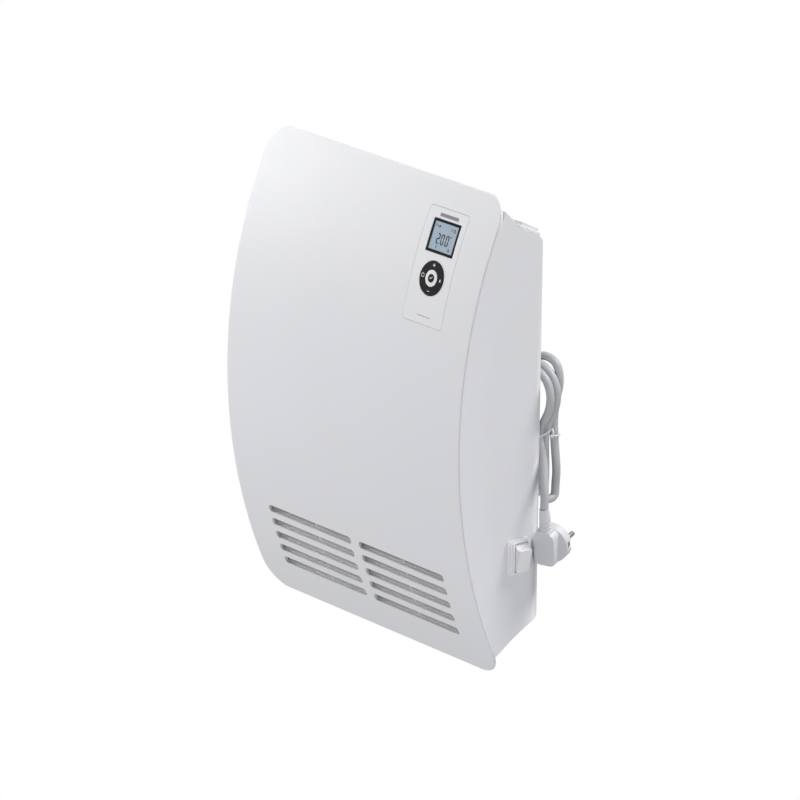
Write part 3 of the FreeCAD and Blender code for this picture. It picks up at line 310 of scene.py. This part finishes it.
def addPiece(name, mesh, slot, body, standsFor=(), finish=None):
    piece = bpy.data.objects.new(name, mesh)
    bpy.context.scene.collection.objects.link(piece)
    mesh.materials.clear()
    mesh.materials.append(finishes[finish or slot])
    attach(piece, body)
    if standsFor:
        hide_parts(*standsFor)
    return piece


# metres and degrees; "wall" is where the side walls start, "level" and "upright" tell faces apart
edgeSizes = {"weld": 0.004*mm, "flat": 0.6, "sharp": 32, "steps": 2, "corner": 4.5*mm, "cornerSteps": 5,
             "shortest": 12*mm, "wall": 0.1673, "level": 0.3, "upright": 0.85}


# True for the outer edges between the casing's side walls and its top, rear and underside.
def longCorner(edge):
    if len(edge.link_faces) != 2 or edge.calc_length() < edgeSizes["shortest"] or not edge.is_convex:
        return False
    across = sorted(abs(one.normal.x) for one in edge.link_faces)
    outside = min(abs(corner.co.x) for corner in edge.verts) > edgeSizes["wall"]
    return outside and across[0] < edgeSizes["level"] and across[1] > edgeSizes["upright"]


# A copy of a CAD node with its sharp edges rounded over, as a moulding's are.
def softenEdges(node, width):
    shape = bmesh.new()
    shape.from_mesh(nodes[node].data)
    bmesh.ops.remove_doubles(shape, verts=shape.verts, dist=edgeSizes["weld"])
    bmesh.ops.dissolve_limit(shape, angle_limit=math.radians(edgeSizes["flat"]), verts=shape.verts,
                             edges=shape.edges)
    if node == "rear_casing":
        corners = [edge for edge in shape.edges if longCorner(edge)]
        bmesh.ops.bevel(shape, geom=corners, offset=edgeSizes["corner"], offset_type="OFFSET",
                        segments=edgeSizes["cornerSteps"], profile=0.5, affect="EDGES",
                        clamp_overlap=True)
        print("long corners rounded:", len(corners))
    mesh = bpy.data.meshes.new(node + "Soft")
    shape.to_mesh(mesh)
    shape.free()
    mesh.shade_smooth()
    draft = bpy.data.objects.new("draft", mesh)
    bpy.context.scene.collection.objects.link(draft)
    soft = draft.modifiers.new("soft", "BEVEL")
    soft.width, soft.segments, soft.limit_method = width, edgeSizes["steps"], "ANGLE"
    soft.angle_limit, soft.harden_normals = math.radians(edgeSizes["sharp"]), True
    draft.modifiers.new("even", "WEIGHTED_NORMAL").keep_sharp = True
    whole = flatten(draft)
    bpy.data.objects.remove(draft)
    return addPiece(node + "Soft", whole, slotOf[node], bodyOf[node], [node])


# A node group with one named input for each size.
def startGroup(group, sizes):
    group.interface.new_socket("Geometry", in_out="INPUT", socket_type="NodeSocketGeometry")
    for name, value in sizes.items():
        kind = "NodeSocketVector" if isinstance(value, tuple) else "NodeSocketFloat"
        group.interface.new_socket(name, in_out="INPUT", socket_type=kind)
    group.interface.new_socket("Geometry", in_out="OUTPUT", socket_type="NodeSocketGeometry")
    tree = Tree(group)
    entry = group.nodes.new("NodeGroupInput")
    return tree, {name: Wire(tree, entry.outputs[name]) for name in sizes}


# Ends the tree in Realize Instances and Set Material, runs it and gives the plain mesh.
def runGroup(tree, group, shape, finish, sizes):
    real = tree.node("GeometryNodeRealizeInstances", {}, {"Geometry": shape})
    painted = tree.node("GeometryNodeSetMaterial", {}, {"Geometry": real, "Material": finishes[finish]})
    end = group.nodes.new("NodeGroupOutput")
    group.links.new(painted.socket, end.inputs["Geometry"])
    draft = bpy.data.objects.new("draft", bpy.data.meshes.new("draft"))
    bpy.context.scene.collection.objects.link(draft)
    maker = draft.modifiers.new("maker", "NODES")
    maker.node_group = group
    for item in group.interface.items_tree:
        if item.in_out == "INPUT" and item.name in sizes:
            maker[item.identifier] = sizes[item.name]
    mesh = flatten(draft)
    bpy.data.objects.remove(draft)
    return mesh


# millimetres
softEdges = {
    "rear_casing": 2.4, "inlet_grille": 0.6, "rear_cover": 0.8, "switch_bezel": 0.5, "switch_rocker": 1.6,
    "control_plate": 0.25, "display_frame": 0.3, "key_ring": 0.3, "okay_key": 0.3, "wall_bracket": 0.3,
    "plug_body": 1.6, "plug_pins": 0.9, "plug_contacts": 0.15, "cord_gland": 0.8}
softened = {node: softenEdges(node, width*mm) for node, width in softEdges.items()}


skirtSizes = {"radius": 14.3*mm, "wide": 14.8*mm, "low": -3*mm, "high": 8.5*mm, "tilt": 14, "steps": 24,
              "middle": (0.1655, -0.062, -0.1195)}


# Curved web round the rocker's pivot that closes its window above and below.
def rockerSkirt():
    half, radius = skirtSizes["wide"]/2, skirtSizes["radius"]
    first, last = (math.acos(skirtSizes[end]/radius) for end in ("high", "low"))
    steps = skirtSizes["steps"]
    turns = [first + (last - first)*n/steps for n in range(steps + 1)]
    section = [(radius*math.cos(a), radius*math.sin(a)) for a in turns]
    section += [(x, -z) for x, z in reversed(section)]
    count = len(section)
    tilt = Matrix.Rotation(math.radians(skirtSizes["tilt"]), 4, "Y")
    place = Matrix.Translation(skirtSizes["middle"]) @ tilt
    mesh = bpy.data.meshes.new("rockerSkirt")
    mesh.from_pydata([place @ Vector((x, side, z)) for side in (-half, half) for x, z in section], [],
                     [list(range(count)), [count + n for n in reversed(range(count))]]
                     + [(n, count + n, count + (n + 1) % count, (n + 1) % count) for n in range(count)])
    return addPiece("rockerSkirt", mesh, "switch_white", "rocker")


rockerSkirt()
print("edges softened on", len(softEdges), "pieces")


# millimetres: the curved front, and the middles of the screen and the key ring on it
face = {"radius": 512.92, "axisBack": 370.92, "screen": (106.3, 186.7), "ring": (105.5, 149.5)}
ink = {"thick": 0.04, "digitWide": 4.5, "digitHigh": 10.4, "digitSpots": (-8.9, -2.9, 3.6), "digitLow": -7.4,
       "stroke": 1.3}


# Matrix of a spot on the curved front: its Z points outwards and its Y up along the face.
def onFace(across, up, out):
    angle = math.asin(up/face["radius"])
    reach = face["radius"] + out
    sine, cosine = math.sin(angle), math.cos(angle)
    axes = Matrix(((1, 0, 0), (0, sine, cosine), (0, -cosine, sine))).transposed()
    spot = Vector((across, face["axisBack"] - reach*cosine, reach*sine))*mm
    return Matrix.Translation(spot) @ axes.to_4x4()


# Flat shapes a hair thick, given by their corners in millimetres, anticlockwise.
def printed(name, shapes, place, slot, body, finish):
    corners, faces = [], []
    for shape in shapes:
        first, count = len(corners), len(shape)
        corners += [(x, y, level) for level in (0, ink["thick"]) for x, y in shape]
        faces += [[first + n for n in reversed(range(count))], [first + count + n for n in range(count)]]
        faces += [(first + n, first + (n + 1) % count, first + count + (n + 1) % count, first + count + n)
                  for n in range(count)]
    mesh = bpy.data.meshes.new(name)
    mesh.from_pydata([place @ (Vector(corner)*mm) for corner in corners], [], faces)
    return addPiece(name, mesh, slot, body, finish=finish)


def bar(x, y, wide, high):
    left, right, low, top = x - wide/2, x + wide/2, y - high/2, y + high/2
    return [(left, low), (right, low), (right, top), (left, top)]


def disc(x, y, radius, count=24):
    turns = [math.tau*n/count for n in range(count)]
    return [(x + radius*math.cos(a), y + radius*math.sin(a)) for a in turns]


# Ring as a row of quads.
def hoop(x, y, outer, inner, count=24):
    turns = [math.radians(360*n/count) for n in range(count + 1)]
    corners = [((inner, a0), (outer, a0), (outer, a1), (inner, a1)) for a0, a1 in zip(turns, turns[1:])]
    return [[(x + r*math.cos(a), y + r*math.sin(a)) for r, a in four] for four in corners]


# Stroke with pointed ends, as a display segment has.
def stroke(x0, y0, x1, y1, wide):
    along = Vector((x1 - x0, y1 - y0)).normalized()*wide/2
    side = Vector((-along.y, along.x))
    a, b = Vector((x0, y0)), Vector((x1, y1))
    return [tuple(p) for p in (a, a + along - side, b - along - side, b, b - along + side, a + along + side)]


def digit(left, segments):
    wide, high, low, half = ink["digitWide"], ink["digitHigh"], ink["digitLow"], ink["stroke"]/2
    x0, x1, y0, y2 = left + half, left + wide - half, low + half, low + high - half
    y1 = (y0 + y2)/2
    ends = {"a": (x0, y2, x1, y2), "b": (x1, y1, x1, y2), "c": (x1, y0, x1, y1), "d": (x0, y0, x1, y0),
            "e": (x0, y0, x0, y1), "f": (x0, y1, x0, y2), "g": (x0, y1, x1, y1)}
    return [stroke(*ends[name], ink["stroke"]) for name in segments]


def addMarks():
    screen = onFace(*face["screen"], -0.44)
    figures = zip(ink["digitSpots"], ("abged", "abcdef", "abcdef"))
    digits = [shape for left, segments in figures for shape in digit(left, segments)]
    point = [bar(2.65, -7.0, 0.9, 0.9), *hoop(9.6, 2.5, 1.0, 0.55)]
    signs = [disc(-9.1, 9.2, 1.15), bar(12.3, 8.6, 2.6, 0.7), bar(12.3, 7.4, 2.6, 0.7),
             bar(12.3, 9.8, 2.6, 0.7), bar(-6.4, -10.0, 1.0, 2.3)]
    printed("screenDigits", digits + point + signs, screen, "display_black", "housing", "ink_dark")
    faint = [*hoop(-12.9, 9.4, 1.25, 0.85), bar(-12.75, 9.75, 0.35, 0.9), *hoop(8.2, 9.1, 1.1, 0.7),
             [(10.2, -11.4), (11.9, -11.4), (12.4, -10.2), (11.1, -8.2), (9.8, -10.2)]]
    printed("screenSigns", faint, screen, "display_black", "housing", "ink_grey")
    ring = onFace(*face["ring"], 0.5)
    plus = [(-.45, 10.9), (.45, 10.9), (.45, 12.05), (1.6, 12.05), (1.6, 12.95), (.45, 12.95),
            (.45, 14.1), (-.45, 14.1), (-.45, 12.95), (-1.6, 12.95), (-1.6, 12.05), (-.45, 12.05)]
    house = [[(-14.2, -1.2), (-13.6, -1.2), (-13.6, 0.8), (-14.2, 0.8)],
             [(-13.6, -1.2), (-10.9, -1.2), (-10.9, -.6), (-13.6, -.6)],
             [(-14.6, .7), (-12.4, 2.2), (-10.2, .7), (-10.2, 1.4), (-12.4, 2.9), (-14.6, 1.4)],
             [(-10.9, -1.2), (-10.4, -1.2), (-10.4, .3), (-10.9, .3)]]
    turns = [-math.tau*n/20 for n in range(20)]
    drop = [(12.4 + math.sin(a)*(1 + .15*math.cos(a)),
             -.3 + (1.05 if math.cos(a) < 0 else 1.9)*math.cos(a)) for a in turns]
    symbols = [plus, bar(0, -12.5, 2.8, .7), *house, drop]
    printed("ringSymbols", symbols, ring, "key_black", "ring", "ink_white")
    tick = [(-1.9, .35), (-.5, -1.15), (2.0, 1.35), (1.45, 1.9), (-.5, -.05), (-1.35, .9)]
    printed("okaySymbol", [tick], onFace(*face["ring"], 0.95), "key_black", "okay", "ink_white")
    for name, wide, high, across, up in (("plateStrip", 26, 3.3, 106.4, 205.2),
                                         ("plateLine", 18.5, 0.55, 105.3, 114.2)):
        printed(name, [bar(0, 0, wide, high)], onFace(across, up, 0.0), "plate_white", "housing", "ink_strip")


addMarks()
print("display and symbols printed")


cordSizes = {"diameter": 8*mm, "length": 0.913}
# metres; the hank's points are millimetres sideways, outwards and up from its middle
leadRoute = [(0.127, -0.022, -0.092), (0.1275, -0.022, -0.066), (0.132, -0.0205, -0.039),
             (0.136, -0.018, -0.016)]
hankRoute = [(-24, -6.5, 4), (-29, -7.5, 24), (-30, -7.5, 44), (-24, -7.5, 60), (-8, -7.5, 65),
             (8, -7.5, 60), (11.5, -7.5, 42), (5.5, -7.5, 24), (3.5, -7.2, 4), (5, -7, -13),
             (7, -7.5, -32), (7.5, -8.5, -46), (5, -9.5, -60), (5, -9.5, -73), (6, 5.5, -73),
             (6, 5, -60), (4, 2.5, -44), (1, 1, -26), (0.5, 1, -12), (4.5, 1, 2), (11, 0.8, 13),
             (16, 0.5, 25), (16.5, 0.5, 41), (5, 0.5, 54.5), (-12, 0.5, 59.5), (-24, 0.5, 50),
             (-25.5, 0.5, 32), (-21, 0.5, 12), (-13, 0.5, -8), (-13, -1, -30), (-14, -2, -48),
             (-14, -5, -60), (-14, -5, -73), (-10, 13, -73), (-10, 13, -58), (-9, 11, -42),
             (-8.5, 9.5, -24), (-9, 9.3, -6), (-15, 9, 8), (-20, 8.5, 24), (-19.5, 8.5, 42),
             (-8, 8.5, 55), (8, 8.5, 51), (16.8, 8.5, 37), (15.5, 8.5, 20), (7, 8.8, 5)]
hankMiddle = (158, -21.5)
tailRoute = [(0.1585, -0.031, -0.008), (0.1635, -0.031, -0.021), (0.170, -0.0332, -0.036),
             (0.177, -0.0384, -0.050), (0.1816, -0.0416, -0.061), (0.1817, -0.042, -0.0733)]


def hankSpot(side, out, up, lift=0.0):
    return ((hankMiddle[0] + side)*mm, (hankMiddle[1] - out)*mm, lift + up*mm)


def splineThrough(name, spots, radius, sides=12):
    curve = bpy.data.curves.new(name, "CURVE")
    curve.dimensions = "3D"
    line = curve.splines.new("NURBS")
    line.points.add(len(spots) - 1)
    for point, spot in zip(line.points, spots):
        point.co = (*spot, 1)
    line.order_u = 3
    line.use_endpoint_u = True
    line.resolution_u = 10
    curve.bevel_depth = radius
    curve.bevel_resolution = sides // 2 - 2
    curve.use_fill_caps = True
    piece = bpy.data.objects.new(name, curve)
    bpy.context.scene.collection.objects.link(piece)
    return piece


neckSizes = {"long": 25*mm, "top": 4.6*mm, "bottom": 6.6*mm, "ribs": 4, "ribSpan": 0.56, "ribDepth": 0.75*mm,
             "turn": 110, "rise": 10, "steps": 140, "sides": 40}


# Bend relief between cord and plug: a smooth taper that ends in ribs.
def ribbedNeck():
    turn, rise = math.radians(neckSizes["turn"]), math.radians(neckSizes["rise"])
    down = Vector((math.sin(rise)*math.cos(turn), math.sin(rise)*math.sin(turn), -math.cos(rise)))
    top = Vector(tailRoute[-1])
    group = bpy.data.node_groups.new("ribbedNeck", "GeometryNodeTree")
    sizes = {"Top": tuple(top), "Bottom": tuple(top + down*neckSizes["long"]), "Top Radius": neckSizes["top"],
             "Bottom Radius": neckSizes["bottom"], "Rib Depth": neckSizes["ribDepth"]}
    tree, inputs = startGroup(group, sizes)
    line = tree.node("GeometryNodeCurvePrimitiveLine", {}, {"Start": inputs["Top"], "End": inputs["Bottom"]})
    fine = tree.node("GeometryNodeResampleCurve", {}, {"Curve": line, "Count": neckSizes["steps"]})
    along = tree.node("GeometryNodeSplineParameter")
    start = 1 - neckSizes["ribSpan"]
    ribbed = tree.node("ShaderNodeMath", {"operation": "GREATER_THAN"}, {0: along, 1: start})
    wave = tree.node("ShaderNodeMath", {"operation": "SINE"},
                     {0: (along - start)*(math.tau*neckSizes["ribs"]/neckSizes["ribSpan"])})
    groove = tree.node("ShaderNodeMath", {"operation": "MAXIMUM"}, {0: wave*-1 - 0.1, 1: 0})
    taper = inputs["Top Radius"] + (inputs["Bottom Radius"] - inputs["Top Radius"])*along
    radius = taper - groove*ribbed*inputs["Rib Depth"]
    ring = tree.node("GeometryNodeCurvePrimitiveCircle", {},
                     {"Resolution": neckSizes["sides"], "Radius": 1.0})
    skin = tree.node("GeometryNodeCurveToMesh", {},
                     {"Curve": fine, "Profile Curve": ring, "Scale": radius, "Fill Caps": True})
    smooth = tree.node("GeometryNodeSetShadeSmooth", {}, {"Geometry": skin})
    mesh = runGroup(tree, group, smooth, "plug_white", sizes)
    return addPiece("plugNeck", mesh, "plug_white", "housing", ["plug_neck"])


tieSizes = {"wire": 0.75*mm, "drop": -9.5*mm}


# Plastic-coated wire round the hank, its ends twisted into a small loop.
def wireTie():
    around = [(-19, -6, -1), (-19, 6, -1), (-14, 14.4, -1.5), (-4, 15.2, -1), (5, 15.2, 1), (11.5, 12.6, 4),
              (15.5, 8.5, 8), (19.5, 9.5, 12.5), (24, 11.5, 12.5), (26, 12.5, 8.5), (23.5, 12, 4.5),
              (18.5, 9, 4.5), (14, 5, 3), (12.2, -3, 1), (10.5, -10.5, -.5), (3, -12.6, -1), (-8, -12.6, -1),
              (-17, -11, -1), (-19.3, -3, -1.6), (-19.3, 5, -2.2)]
    spots = [hankSpot(side, out, up, tieSizes["drop"]) for side, out, up in around]
    draft = splineThrough("tieDraft", spots, tieSizes["wire"], 8)
    mesh = flatten(draft)
    bpy.data.objects.remove(draft)
    return addPiece("twistTie", mesh, "tie_white", "housing", ["twist_tie"])


route = leadRoute + [hankSpot(*spot) for spot in hankRoute] + tailRoute
neck = ribbedNeck()
tie = wireTie()
cord = splineThrough("mainsCord", route, cordSizes["diameter"]/2, 20)
cord.data.materials.append(finishes["cord_white"])
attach(cord, "housing")
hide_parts("cord_lead", "cord_hank", "cord_tail")
print("cord laid")
